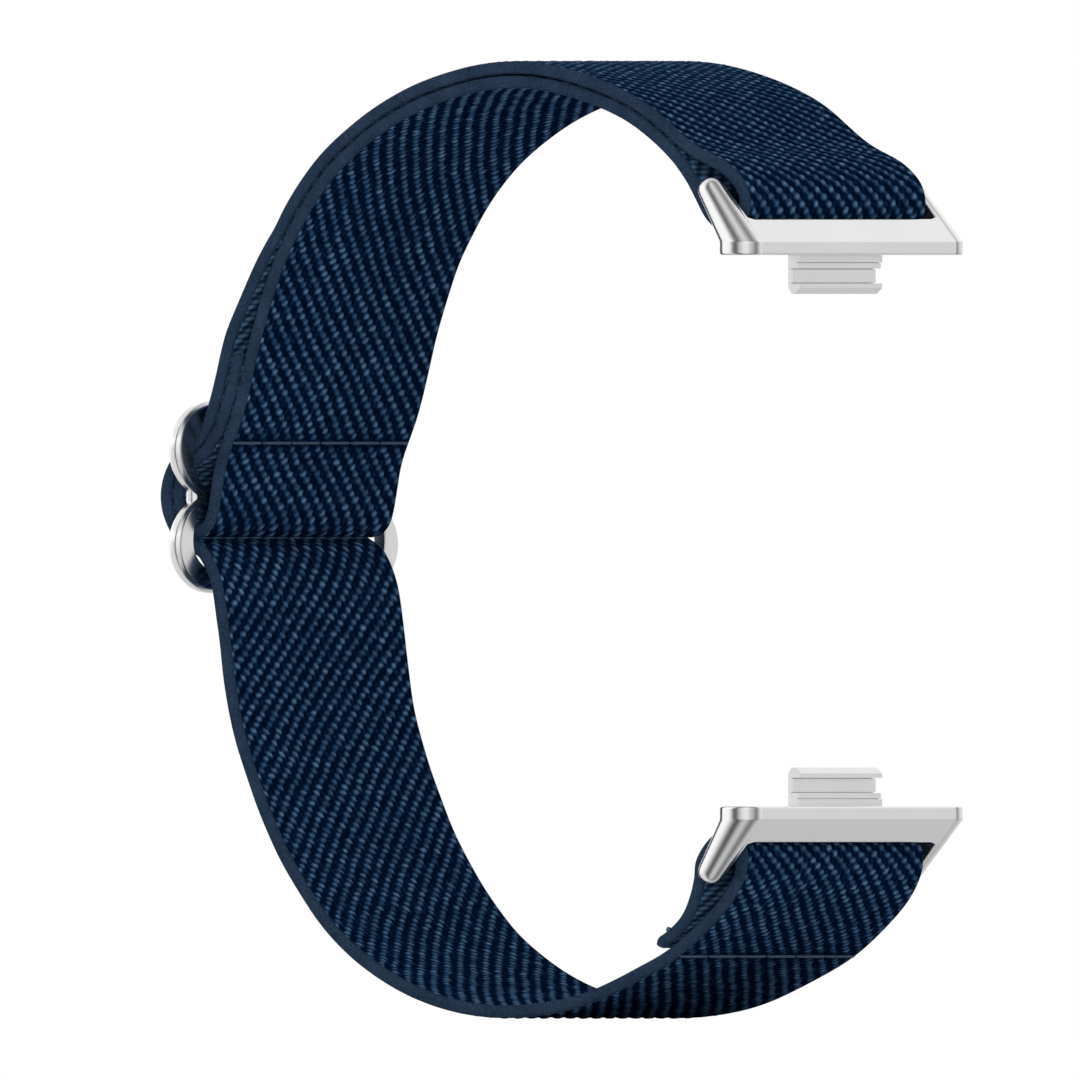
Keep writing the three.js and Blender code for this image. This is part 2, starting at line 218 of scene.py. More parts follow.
def strip_route():
    """The whole strip as one line, from the hem to the sewn tail, with where each stretch of it starts."""
    inner, _ = curve_through(INNER)
    crease, wrap_start = nearest(inner, -25.3, 1.0), nearest(inner, -26.2, 0.0)
    tail_bottom, tail_top = nearest(inner, -23.45, 7.5), nearest(inner, -21.3, 14.2)
    layers_part = nearest(inner, 16.0, 30.3)

    outer_wrap = shifted(inner, LAYER_PITCH)[wrap_start + 8:-8]
    over_tail = 1 - np.clip((inner[:, 1] - TAPER_BOTTOM_Z) / (TAPER_TOP_Z - TAPER_BOTTOM_Z), 0, 1)
    over_inner = shifted(inner, -LAYER_PITCH * (1 + over_tail))[layers_part:tail_bottom][::-1]
    tail = shifted(inner, -LAYER_PITCH)[tail_top:tail_bottom][::-1]

    stretches = [
        ("lower_hem", HEM),
        ("lower_end_loop", LOWER_END_LOOP),
        ("lower_band", LOWER_BAND),
        ("outer_wrap", thinned(outer_wrap, 0.8)),
        ("upper_outer_layer", np.vstack([thinned(over_inner, 1.5)[:-1], SHOULDER])),
        ("upper_end_loop", END_LOOP[::-1]),
        ("upper_inner_layer", thinned(inner[:crease], 0.9)),
        ("inner_wrap", thinned(inner[crease:-4], 0.6)),
        ("sewn_tail", thinned(tail, 0.8)),
    ]
    line, at_points = curve_through(np.vstack([points for _, points in stretches]), STRIP_STEP)
    counts = np.cumsum([0] + [len(points) for _, points in stretches])[:-1]
    starts = {name: at_points[count] for (name, _), count in zip(stretches, counts)}
    return line, starts, at_points[-1]


STRIP, STARTS, STRIP_LENGTH = strip_route()
STRIP_LEFT = left_of(STRIP)
STRIP_AT = np.arange(len(STRIP)) * STRIP_STEP


# ---------- the weave ----------
WALE = 2.04  # across the band, from one diagonal rib to the next
ENDS = 3  # picks in one repeat of the twill
RELIEF = 0.14  # from the deepest gap to the highest float
HIDDEN_COLUMNS = 13  # across a face that isn't seen
SEAM_AT = {"tail_seam": (-23.6, 7.05), "hem_seam": (17.0, -33.0)}

# The elastic is stretched more in some places than in others, so its picks lie further apart there.
PICK_SPACING = {
    "lower_hem": 0.40, "lower_band": 0.40, "outer_wrap": 0.50, "upper_outer_layer": 0.50,
    "upper_end_loop": 0.48, "upper_inner_layer": 0.48, "inner_wrap": 0.53, "sewn_tail": 0.53,
}
SPACING_AT = np.interp(STRIP_AT, [STARTS[name] for name in PICK_SPACING], list(PICK_SPACING.values()))
PICK_AT = np.cumsum(STRIP_STEP / SPACING_AT)


def scramble(a, b, seed):
    """A repeatable number from 0 to 1 for each pair of whole numbers."""
    mixed = np.sin(a * 127.1 + b * 311.7 + seed * 74.7) * 43758.5453
    return mixed - np.floor(mixed)


def float_shape(ahead, sideways, long_half, short_half, tilt):
    """How high one float of yarn stands at a point that is so far from its middle, from 0 to 1."""
    long_way = (sideways * np.cos(tilt) + ahead * np.sin(tilt)) / long_half
    short_way = (ahead * np.cos(tilt) - sideways * np.sin(tilt)) / short_half
    return np.clip(1 - long_way**2 - short_way**2, 0, 1) ** 0.7


def twill(pick, across, spacing):
    """The height of the woven face from 0 to 1, and how light the yarn is there, from 0 to 1."""
    across = across + 0.07 * np.sin(pick / 9.1) + 0.06 * np.sin(pick / 3.3 + across / 3.1)
    uneven = 0.05 * np.sin(11.3 * across + 2.9 * pick) + 0.04 * np.sin(5.1 * across - 7.7 * pick)
    rib_phase = across / WALE - (pick - 0.5) / ENDS
    height = 0.08 + 0.4 * np.clip(np.cos(2 * np.pi * rib_phase), 0, 1)
    tone = scramble(np.floor(pick), np.floor(across * ENDS / WALE), 4)
    for step in (-1, 0, 1):
        row = np.floor(pick) + step
        ahead = (pick - row - 0.5) * spacing
        for kind, shift in (("face", 0.0), ("ground", 0.5)):
            place = (across - row * WALE / ENDS) / WALE - shift
            rib = np.round(place)
            chance, size, lean = (scramble(row, rib + shift, seed) for seed in (1, 2, 5))
            sideways = (place - rib) * WALE + 0.2 * (chance - 0.5) + uneven
            forward = ahead + 0.12 * (lean - 0.5)
            if kind == "face":
                bump = float_shape(forward, sideways, 0.42 + 0.2 * size, 0.58 * spacing, 0.05 - 0.5 * lean)
                bump = bump * (0.8 + 0.2 * chance)
            else:
                bump = 0.3 * float_shape(forward, sideways, 0.4, 0.5 * spacing, 0.3) * (0.4 + 0.6 * size)
            on_top = bump > height
            height = np.where(on_top, bump, height)
            tone = np.where(on_top, scramble(row, rib + shift, 3), tone)
    return height, tone


def seam_marks(along):
    """1 where a seam presses into the webbing, falling to 0 about a millimetre away. The webbing dips there and
    its colour is darkened, a painted shade.
    """
    seam_dip_and_shade = np.zeros_like(along)
    for x, z in SEAM_AT.values():
        spots = np.hypot(STRIP[:, 0] - x, STRIP[:, 1] - z)
        seam_dip_and_shade = np.maximum(seam_dip_and_shade, np.exp(-((along - STRIP_AT[spots.argmin()]) / 0.55) ** 2))
    return seam_dip_and_shade


# ---------- webbing ----------
CORNER = 0.32  # how far the edges are rounded
FINE_COLUMN = WALE / 16
ROWS_IN_PICK = 4


def edge_profile():
    """From the outer face round one edge to the inner face: (part of the way across, height) pairs."""
    angles = np.radians([70, 45, 20])
    corner = [(math.cos(a) * CORNER, WEB_HALF_THICKNESS - CORNER + math.sin(a) * CORNER) for a in angles]
    flat = [(CORNER * 1.05, 0.0)]
    return corner + flat + [(y, -z) for y, z in corner[::-1]]


def end_taper(along, start, end, rounded):
    """The share of its thickness that the strip keeps: it rounds off at a free end."""
    if not rounded:
        return np.ones_like(along)
    reach = 0.45
    gap = (along - start) if rounded == "start" else (end - along)
    return np.sqrt(np.clip(1 - (1 - np.clip(gap / reach, 0, 1)) ** 2, 0.02, 1))


def bunching(along):
    """1 where the webbing turns round a spring bar and crowds inside the bend, 0 away from the turns."""
    crowded = np.zeros_like(along)
    for turn, after in (("lower_end_loop", "lower_band"), ("upper_end_loop", "upper_inner_layer")):
        reach = np.minimum(along - STARTS[turn], STARTS[after] - along)
        crowded = np.maximum(crowded, np.clip(reach / 1.2, 0, 1))
    return crowded


def webbing(name, start, end, fine_inner=False, fine_outer=True, rounded=None):
    """A stretch of the strip as a closed sleeve: woven on each fine face and plain where a face is hidden."""
    first, last = np.interp([start, end], STRIP_AT, PICK_AT)
    picks = np.arange(math.ceil(first * ROWS_IN_PICK), math.floor(last * ROWS_IN_PICK) + 1) / ROWS_IN_PICK
    picks = np.concatenate([[first], picks[(picks > first + 0.05) & (picks < last - 0.05)], [last]])
    along = np.interp(picks, PICK_AT, STRIP_AT)
    centre = np.stack([np.interp(along, STRIP_AT, STRIP[:, axis]) for axis in (0, 1)], 1)
    left = np.stack([np.interp(along, STRIP_AT, STRIP_LEFT[:, axis]) for axis in (0, 1)], 1)
    left /= np.linalg.norm(left, axis=1)[:, None]

    flat_half = WEB_HALF_WIDTH - CORNER
    fine = np.linspace(-flat_half, flat_half, round(2 * flat_half / FINE_COLUMN) + 1)
    coarse = np.linspace(-flat_half, flat_half, HIDDEN_COLUMNS)
    top, bottom = (fine if fine_outer else coarse), (fine if fine_inner else coarse)
    edge = edge_profile()
    across = np.concatenate([top, [flat_half + y for y, _ in edge], bottom[::-1],
                             [-flat_half - y for y, _ in edge[::-1]]])
    lift = np.concatenate([np.full(len(top), WEB_HALF_THICKNESS), [z for _, z in edge],
                           np.full(len(bottom), -WEB_HALF_THICKNESS), [z for _, z in edge[::-1]]])
    kind = np.concatenate([np.full(len(top), 1 if fine_outer else 2), np.zeros(len(edge)),
                           np.full(len(bottom), -1 if fine_inner else 2), np.zeros(len(edge))])

    s, y = np.meshgrid(along, across, indexing="ij")
    woven = np.abs(kind) == 1
    height, tone = np.zeros_like(s), np.full_like(s, 0.5)
    spacing = np.gradient(along, picks)[:, None]
    pick = np.broadcast_to(picks[:, None], s.shape)
    height[:, woven], tone[:, woven] = twill(pick[:, woven], y[:, woven], spacing)
    fade = np.clip((flat_half - np.abs(y)) / 0.25, 0, 1)
    seam_dip_and_shade = seam_marks(along)[:, None]
    relief = (height - 0.55) * RELIEF * fade * (1 - 0.5 * seam_dip_and_shade) - 0.05 * seam_dip_and_shade
    wander = 0.03 * np.sin(s / 2.3 + 1.7 * np.sign(y)) + 0.02 * np.sin(s / 0.83)
    y = y + np.where(kind == 0, wander, 0) * np.sign(y)
    proud = lift[None, :] + np.where(kind == 1, relief, np.where(kind == -1, -relief, 0))
    proud = np.where(proud < 0, proud * (1 + 0.5 * bunching(along))[:, None], proud)
    proud = proud * end_taper(along, start, end, rounded)[:, None]
    points = np.stack([centre[:, :1] + left[:, :1] * proud, y, centre[:, 1:] + left[:, 1:] * proud], -1)

    around = len(across)
    sides = rings_to_faces(len(along), around)
    piece = mesh_object(f"{name}_cloth", points.reshape(-1, 3), sides)
    on_edge = np.minimum(np.abs(kind), np.abs(np.roll(kind, -1))) == 0
    close_ends(piece, around, len(along))
    slots = np.zeros(len(piece.data.polygons), np.int32)
    slots[:len(sides)] = np.tile(on_edge, len(along) - 1)
    slots[len(sides):] = 1
    dress(piece, "webbing", WEBBING, SELVEDGE)
    piece.data.polygons.foreach_set("material_index", slots)
    # Beside a seam the float height that sets the colour is lowered: a painted shade.
    add_values(piece, "float_height_shade_and_highlight", (height * (1 - 0.6 * seam_dip_and_shade)).ravel())
    add_values(piece, "float_tone", tone.ravel())
    add_values(piece, "plain_mesh", np.broadcast_to(np.abs(kind) == 2, s.shape).ravel())
    add_values(piece, "strip_pick", pick.ravel())
    add_values(piece, "strip_across", y.ravel())
    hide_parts(name)
    return piece


def close_ends(piece, around, rings):
    """Puts one flat face on each end of a sleeve."""
    mesh = piece.data
    loops, faces = len(mesh.loops), len(mesh.polygons)
    mesh.loops.add(2 * around)
    mesh.polygons.add(2)
    first = np.arange(around)[::-1]
    last = np.arange(around) + (rings - 1) * around
    for k, ring in enumerate((first, last)):
        mesh.polygons[faces + k].loop_start = loops + k * around
        for offset, vertex in enumerate(ring):
            mesh.loops[loops + k * around + offset].vertex_index = int(vertex)
    mesh.update(calc_edges=True)
    mesh.validate()


# ---------- procedural materials ----------
def linear(red, green, blue):
    """A colour as seen on a screen, 0 to 255, in the linear values that a shader takes."""
    return tuple((c / 255 / 12.92 if c < 11 else ((c / 255 + 0.055) / 1.055) ** 2.4)
                 for c in (red, green, blue)) + (1.0,)


class Nodes:
    """A new material and short ways to add nodes to it."""

    def __init__(self, name):
        self.material = bpy.data.materials.new(name)
        self.material.use_nodes = True
        self.tree = self.material.node_tree
        self.shader = self.tree.nodes["Principled BSDF"]

    def add(self, kind, inputs=None, **settings):
        node = self.tree.nodes.new(kind)
        for key, value in settings.items():
            setattr(node, key, value)
        for key, value in (inputs or {}).items():
            self.give(node.inputs[key], value)
        return node

    def give(self, socket, value):
        if isinstance(value, bpy.types.NodeSocket):
            self.tree.links.new(value, socket)
        else:
            socket.default_value = value

    def set(self, **values):
        for key, value in values.items():
            self.give(self.shader.inputs[key.replace("_", " ")], value)

    def attribute(self, name):
        return self.add("ShaderNodeAttribute", attribute_name=name).outputs["Fac"]

    def math(self, operation, a, b=0.0):
        return self.add("ShaderNodeMath", {0: a, 1: b}, operation=operation).outputs[0]

    def place(self, scale):
        """Object coordinates times scale, one unit being a metre over scale."""
        where = self.add("ShaderNodeTexCoord").outputs["Object"]
        return self.add("ShaderNodeMapping", {"Vector": where, "Scale": (scale,) * 3}).outputs[0]

    def noise(self, scale, detail=3.0, where=None):
        inputs = {"Vector": where or self.place(scale), "Scale": 1.0, "Detail": detail}
        return self.add("ShaderNodeTexNoise", inputs).outputs["Fac"]

    def ramp(self, value, *stops):
        ramp = self.add("ShaderNodeValToRGB", {"Fac": value}).color_ramp
        for element, (position, _) in zip(ramp.elements, (stops[0], stops[-1])):
            element.position = position
        for position, _ in stops[1:-1]:
            ramp.elements.new(position)
        for element, (_, color) in zip(ramp.elements, stops):
            element.color = color
        return self.tree.nodes[-1].outputs["Color"]

    def bump(self, height, distance, strength=1.0, over=None):
        inputs = {"Height": height, "Distance": distance, "Strength": strength}
        if over is not None:
            inputs["Normal"] = over
        return self.add("ShaderNodeBump", inputs).outputs["Normal"]


def webbing_material():
    """Dyed polyester yarn with fine fibres, darker between the floats and lighter on their crowns: painted shade
    in the gaps and a painted highlight on the crowns.
    On a hidden face, whose mesh is plain, the floats are worked out here from the place on the strip, and they
    are painted lighter than on a woven face: painted light in the deep hollows where these faces lie."""
    m = Nodes("navy_webbing")
    tone, plain = m.attribute("float_tone"), m.attribute("plain_mesh")
    pick, across = m.attribute("strip_pick"), m.attribute("strip_across")
    # Painted light: the hidden faces' floats come out higher than any woven float, so these faces are coloured
    # lighter to make up for light that doesn't reach the hollows.
    rib = m.math("SUBTRACT", m.math("MULTIPLY", across, 2 * math.pi / WALE),
                 m.math("MULTIPLY", pick, 2 * math.pi / ENDS))
    rib_height = m.math("ADD", m.math("MULTIPLY", m.math("COSINE", rib), 0.4), 0.95)
    row = m.math("SINE", m.math("MULTIPLY", pick, 2 * math.pi))
    row_height = m.math("ADD", m.math("MULTIPLY", row, 0.25), 0.75)
    painted = m.math("MULTIPLY", rib_height, row_height)
    height = m.add("ShaderNodeMix", {0: plain, 2: m.attribute("float_height_shade_and_highlight"), 3: painted}).outputs[0]
    where = m.add("ShaderNodeCombineXYZ", {"X": m.math("MULTIPLY", pick, 0.5), "Y": across}).outputs[0]
    fibres = m.add("ShaderNodeMapping", {"Vector": where, "Rotation": (0, 0, 0.5), "Scale": (6.0, 17.0, 1.0)})
    fibre = m.noise(1.0, 2.0, fibres.outputs[0])
    blotch = m.noise(700.0)
    lit = m.math("ADD", m.math("MULTIPLY", tone, 0.32), m.math("MULTIPLY", fibre, 1.1))
    lit = m.math("ADD", lit, m.math("MULTIPLY", blotch, 0.24))
    # The colour follows the float height: painted shade in the gaps, painted highlight on the crowns.
    value = m.math("MULTIPLY", height, m.math("SUBTRACT", lit, 0.08))
    color = m.ramp(value, (0.05, linear(1, 13, 34)), (0.2, linear(10, 31, 57)), (0.45, linear(38, 63, 92)),
                   (0.85, linear(90, 119, 149)))
    rough = m.math("ADD", m.math("MULTIPLY", fibre, 0.2), 0.5)
    m.set(Base_Color=color, Roughness=rough, Specular_IOR_Level=0.0, Normal=m.bump(fibre, 0.00004, 0.6))
    return m.material


def selvedge_material():
    """The band's cut and sealed edge: a smooth, matt skin of the same navy, with a fine grain."""
    m = Nodes("navy_selvedge")
    grain, cloud = m.noise(5200.0, 2.0), m.noise(420.0)
    value = m.math("ADD", m.math("MULTIPLY", grain, 0.6), m.math("MULTIPLY", cloud, 0.4))
    color = m.ramp(value, (0.3, linear(19, 33, 50)), (0.7, linear(41, 56, 76)))
    m.set(Base_Color=color, Roughness=0.75, Specular_IOR_Level=0.03, Normal=m.bump(grain, 0.00004, 0.7))
    return m.material


def thread_material():
    """Sewing thread, with the slant of its twist."""
    m = Nodes("blue_grey_thread")
    across = m.attribute("strip_across")
    twist = m.math("SINE", m.math("MULTIPLY", across, 24.0))
    fuzz = m.noise(6000.0)
    value = m.math("ADD", m.math("MULTIPLY", twist, 0.18), fuzz)
    color = m.ramp(value, (0.25, linear(32, 50, 72)), (0.75, linear(70, 90, 112)))
    m.set(Base_Color=color, Roughness=0.6, Specular_IOR_Level=0.15, Normal=m.bump(value, 0.00002, 0.6))
    return m.material


def metal_material(name, color, roughness, brushed):
    """Satin metal: a fine finish that varies a little in roughness and carries a very fine grain.
    The grain is drawn out along each axis where brushed is below 1."""
    m = Nodes(name)
    where = m.add("ShaderNodeTexCoord").outputs["Object"]
    scale = tuple(9000.0 * k for k in brushed)
    grain = m.noise(1.0, 2.0, m.add("ShaderNodeMapping", {"Vector": where, "Scale": scale}).outputs[0])
    smear = m.noise(260.0)
    rough = m.math("ADD", m.math("MULTIPLY", smear, 0.08), roughness - 0.04)
    bright = m.math("ADD", m.math("MULTIPLY", grain, 0.06), m.math("MULTIPLY", smear, 0.04))
    tint = m.ramp(bright, (0.0, tuple(c * 0.95 for c in color[:3]) + (1.0,)), (0.1, color))
    m.set(Base_Color=tint, Metallic=1.0, Roughness=rough, Normal=m.bump(grain, 0.000004, 0.25))
    return m.material


WEBBING, SELVEDGE, THREAD = webbing_material(), selvedge_material(), thread_material()
SATIN = metal_material("satin_steel", linear(238, 238, 239), 0.24, (1.0, 0.15, 1.0))
PLUG_METAL = metal_material("brushed_steel", linear(246, 246, 247), 0.34, (1.0, 0.1, 1.0))
# The spring bar's steel is a dark grey, darker than bare steel: a painted shade for the bar deep inside the
# webbing's end loops.
SHADED_SPRING_STEEL = metal_material("spring_steel_painted_shade", linear(92, 94, 99), 0.4, (1.0, 0.2, 1.0))


# ---------- the webbing's nine stretches ----------
def all_webbing():
    """Makes the stretches and lets each short one follow its body. The long ones, which run between two bodies,
    are left unattached.
    """
    names = list(STARTS)
    ends = dict(zip(names, [STARTS[n] for n in names[1:]] + [STRIP_LENGTH]))

    def stretch(name, **options):
        return webbing(name, STARTS[name], ends[name], **options)

    for name in ("lower_end_loop", "upper_end_loop"):
        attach(stretch(name), "band")
    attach(stretch("lower_hem", rounded="start"), "band")
    for name in ("outer_wrap", "inner_wrap"):
        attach(stretch(name), "buckle")
    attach(stretch("sewn_tail", fine_outer=False, rounded="end"), "buckle")

    bends = [("lower_band", (6, 0, -36), (-25, 0, -6), True),
             ("upper_outer_layer", (14, 0, 33), (-22.5, 0, 14.2), False),
             ("upper_inner_layer", (14, 0, 33), (-22.5, 0, 14.2), False)]
    for name, start, end, both_faces in bends:
        piece = stretch(name, fine_inner=both_faces)
        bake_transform(piece)


all_webbing()


# ---------- seams ----------
STITCH_COUNT, STITCH_PITCH, STITCH_GAP = 6, 4.6, 0.1
FIRST_STITCH_Y = -13.75
THREAD_RADIUS = 0.12
KNOT_MIDDLE = (16.43, -13.9, -31.33)


def thread_run(stitches, radius):
    """Points, faces and a running length of several short pieces of thread, each along a list of points."""
    sides = 8
    points, faces, across = [], [], []
    for path in stitches:
        path = np.asarray(path, float)
        along = np.gradient(path, axis=0)
        along /= np.linalg.norm(along, axis=1)[:, None]
        up = np.cross(along, np.cross([0.3, 0.1, 1.0], along))
        up /= np.linalg.norm(up, axis=1)[:, None]
        beside = np.cross(along, up)
        t = np.linspace(0, 1, len(path))
        swell = radius * np.sqrt(np.clip(1 - np.abs(2 * t - 1) ** 14, 0.02, 1))
        angle = np.arange(sides) / sides * 2 * np.pi
        ring = np.cos(angle)[None, :, None] * up[:, None] + np.sin(angle)[None, :, None] * beside[:, None]
        first = sum(len(p) for p in points)
        points.append((path[:, None] + ring * swell[:, None, None]).reshape(-1, 3))
        faces.append(rings_to_faces(len(path), sides) + first)
        across.append(np.repeat(np.cumsum(np.full(len(path), 0.2)), sides))
    return np.vstack(points), np.vstack(faces), np.concatenate(across)


def seam(name, side, body, extra=()):
    """Long stitches across the band, each end diving into the webbing."""
    x, z = SEAM_AT[name]
    spot = int(np.hypot(STRIP[:, 0] - x, STRIP[:, 1] - z).argmin())
    out = STRIP_LEFT[spot]
    stitches = []
    for k in range(STITCH_COUNT):
        start_y = FIRST_STITCH_Y + k * STITCH_PITCH
        y = np.linspace(start_y, start_y + STITCH_PITCH - STITCH_GAP, 22)
        t = np.linspace(-1, 1, 22)
        lift = side * (WEB_HALF_THICKNESS - 0.02 - 0.1 * np.abs(t) ** 16)
        slant = 0.03 * np.sin(k * 2.1) + 0.015 * t
        x_and_z = STRIP[spot] + out * lift[:, None]
        stitches.append(np.stack([x_and_z[:, 0] + slant, y, x_and_z[:, 1]], 1))
    points, faces, across = thread_run(stitches + list(extra), THREAD_RADIUS)
    piece = mesh_object(f"{name}_thread", points, faces)
    add_values(piece, "strip_across", across)
    dress(piece, "thread", THREAD)
    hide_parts(name)
    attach(piece, body)


def hem_thread_ends():
    """A small knot inside the hem by one edge, and a loose end past the other edge."""
    turn = np.linspace(0, 2 * np.pi, 60)
    wave = 0.08 + 0.04 * np.cos(3 * turn)
    knot = np.stack([wave * np.cos(2 * turn), 0.08 * np.sin(3 * turn), wave * np.sin(2 * turn)], 1)
    t = np.linspace(0, 1, 16)
    loose = np.stack([17.0 + 0.1 * t, 13.6 + 0.9 * t, -33.5 + 0.5 * t**2], 1)
    return [knot + KNOT_MIDDLE, loose]


seam("tail_seam", 1, "buckle")
seam("hem_seam", 1, "band", hem_thread_ends())


# ---------- metal pieces from distance fields ----------
def cut(a, b, soft):
    """The greater of two fields, with the edge where they meet rounded."""
    near = np.clip(soft - np.abs(a - b), 0, None)
    return np.maximum(a, b) + near**2 / (4 * soft)


def join(a, b, soft):
    """The lesser of two fields, with the corner where they meet filled."""
    return -cut(-a, -b, soft)


def surface_of(field, low, high, cell):
    """The surface where a field is zero inside a box: points, outward normals and quads."""
    axes = [np.arange(a - 1.63 * cell, b + 2 * cell, cell) for a, b in zip(low, high)]
    grid = np.meshgrid(*axes, indexing="ij")
    values = field(*grid)
    inside = values < 0
    count = np.zeros([n - 1 for n in inside.shape], int)
    total = np.zeros(count.shape + (3,))
    crossings = np.zeros(count.shape)
    for corner in np.ndindex(2, 2, 2):
        count += inside[tuple(slice(c, c + n) for c, n in zip(corner, count.shape))]
    for axis in range(3):
        for other in np.ndindex(2, 2):
            a = list(other)
            a.insert(axis, 0)
            b = list(other)
            b.insert(axis, 1)
            va, vb = (values[tuple(slice(c, c + n) for c, n in zip(k, count.shape))] for k in (a, b))
            crossed = (va < 0) != (vb < 0)
            share = np.where(crossed, va / np.where(crossed, va - vb, 1), 0)
            place = np.stack([np.full(count.shape, float(v)) for v in a], -1)
            place[..., axis] = share
            total += place * crossed[..., None]
            crossings += crossed
    active = (count > 0) & (count < 8)
    index = np.full(count.shape, -1)
    index[active] = np.arange(active.sum())
    origin = np.stack([ax[i] for ax, i in zip(axes, np.nonzero(active))], 1)
    points = origin + total[active] / crossings[active][:, None] * cell

    faces = []
    for axis in range(3):
        u, v = (axis + 1) % 3, (axis + 2) % 3
        here = [slice(1, -1)] * 3
        here[axis] = slice(0, -1)
        there = list(here)
        there[axis] = slice(1, None)
        start, stop = inside[tuple(here)], inside[tuple(there)]
        for leaving in (True, False):
            spots = np.argwhere(start & ~stop if leaving else ~start & stop)
            spots[:, [u, v]] += 1
            around = []
            for du, dv in ((-1, -1), (0, -1), (0, 0), (-1, 0)):
                cellid = spots.copy()
                cellid[:, u] += du
                cellid[:, v] += dv
                around.append(index[tuple(cellid.T)])
            quad = np.stack(around, 1)
            faces.append(quad if leaving else quad[:, ::-1])
    for _ in range(4):
        slope = gradient(field, points)
        points = points - slope * (field(*points.T) / (slope**2).sum(1))[:, None]
    normals = gradient(field, points)
    normals /= np.linalg.norm(normals, axis=1)[:, None]
    return points, normals, np.vstack(faces)


def gradient(field, points, step=0.01):
    """How fast a field grows along each axis at the points."""
    slopes = []
    for axis in range(3):
        shift = np.zeros(3)
        shift[axis] = step
        slopes.append((field(*(points + shift).T) - field(*(points - shift).T)) / (2 * step))
    return np.stack(slopes, 1)


def field_piece(name, field, node, cell, mirror=False):
    """A piece whose shape is a field, standing for a CAD node."""
    low, high = box_mm(node)
    if mirror:
        low, high = np.array([low[0], low[1], -high[2]]), np.array([high[0], high[1], -low[2]])
    points, normals, faces = surface_of(field, low, high, cell)
    if mirror:
        points[:, 2] *= -1
        normals[:, 2] *= -1
        faces = faces[:, ::-1]
    return mesh_object(name, points, faces, normals)


# ---------- buckle ----------
BUCKLE_LOW, BUCKLE_HIGH = box_mm("buckle")
BUCKLE_MID = (BUCKLE_LOW + BUCKLE_HIGH) / 2
BUCKLE_HALF_THICKNESS = (BUCKLE_HIGH - BUCKLE_LOW)[0] / 2
STRAIGHT = 11.5  # half the length of the rails' straight part


def lobe(y, z, middle_z, end, above, below):
    """Distance from a rounded slot outline: straight rails joined by half ellipses."""
    across, up = np.maximum(np.abs(y) - STRAIGHT, 0), z - middle_z
    radius = np.where(up > 0, above, below)
    scaled = np.hypot(across / end, up / radius)
    slope = np.hypot(across / end**2, up / radius**2)
    return np.where(slope > 1e-6, (scaled - 1) * scaled / np.maximum(slope, 1e-6), -min(above, below))


def buckle_field(x, y, z):
    """Two mirrored lobes joined by a neck, each with a window, and both faces chamfered."""
    z = np.abs(z - BUCKLE_MID[2])
    neck = np.maximum(np.abs(y) - 14.77, z - 0.47)
    outer = join(lobe(y, z, 3.75, 5.9, 3.8, 3.94), neck, 0.1)
    window = lobe(y, z, 3.45, 3.55, 2.3, 2.97)
    face = np.abs(x - BUCKLE_MID[0]) - BUCKLE_HALF_THICKNESS
    chamfer = (outer + face + 0.3) / math.sqrt(2)
    body = cut(cut(outer, face, 0.05), chamfer, 0.08)
    return cut(body, -window, 0.1)


def buckle():
    piece = field_piece("buckle_body", buckle_field, "buckle", 0.08)
    dress(piece, "buckle_metal", SATIN)
    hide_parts("buckle")
    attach(piece, "buckle")


buckle()

# ---------- connectors ----------
FOOT = np.array([24.05, 15.7, 1.7])  # x, y and radius of the arm at its foot
TIP = np.array([21.35, 15.55, 1.18])
TIP_Z, LEAN_START_Z, SLAB_TOP_Z = 26.65, 22.7, 24.5
ARM_LEAN = math.atan2(FOOT[0] - TIP[0], TIP_Z - LEAN_START_Z)
ARM_END = 1.05  # from the arm's last full section to its blunt end
ARM_GAP_HALF = 14.75
LOOP_ROOM = 2.65  # radius of the hollow for the webbing's end turn
SOCKET_RADIUS, SOCKET_MID_Y, SOCKET_HALF_DEPTH = 0.47, 15.1, 0.95
FACE_SET_BACK = 0.07  # the slab's long faces lie a little behind the arms' roundness
PLUG_HALF_WIDTH = 6.45
PLUG_BACK, PLUG_FRONT = 22.95, 24.05


def connector_field(x, y, z):
    """A slab with a leaning arm at each end, a gap and a hollow between the arms, two blind sockets
    for the bar, and a pocket for the plug."""
    y = np.abs(y)
    rise = np.clip((z - LEAN_START_Z) / (TIP_Z - LEAN_START_Z), 0, 1.4)
    cx, cy, radius = (FOOT[k] + (TIP[k] - FOOT[k]) * rise for k in range(3))
    past_tip = (z - TIP_Z) * math.cos(ARM_LEAN) - (x - TIP[0]) * math.sin(ARM_LEAN) - ARM_END
    arm = cut(np.hypot(x - cx, y - cy) - radius, past_tip, 0.85)
    slab = np.maximum(np.abs(x - cx) - (radius - FACE_SET_BACK), y - cy)
    slab = cut(slab, past_tip + 0.4, 0.9)
    body = cut(np.minimum(arm, slab), SEAT_Z - z, 0.22)
    gap = cut(y - ARM_GAP_HALF, SLAB_TOP_Z - z, 1.1)
    body = cut(body, -gap, 0.16)
    from_bar = np.hypot(x - BAR_X, z - BAR_Z)
    hollow = cut(from_bar - LOOP_ROOM, y - ARM_GAP_HALF, 0.2)
    body = cut(body, -hollow, 0.16)
    socket = np.maximum(from_bar - SOCKET_RADIUS, np.abs(y - SOCKET_MID_Y) - SOCKET_HALF_DEPTH)
    body = cut(body, -socket, 0.05)
    pocket = np.maximum(np.abs(x - (PLUG_BACK + PLUG_FRONT) / 2) - 0.6, y - PLUG_HALF_WIDTH - 0.05)
    pocket = np.maximum(pocket, z - SEAT_Z - 0.85)
    return np.maximum(body, -pocket)


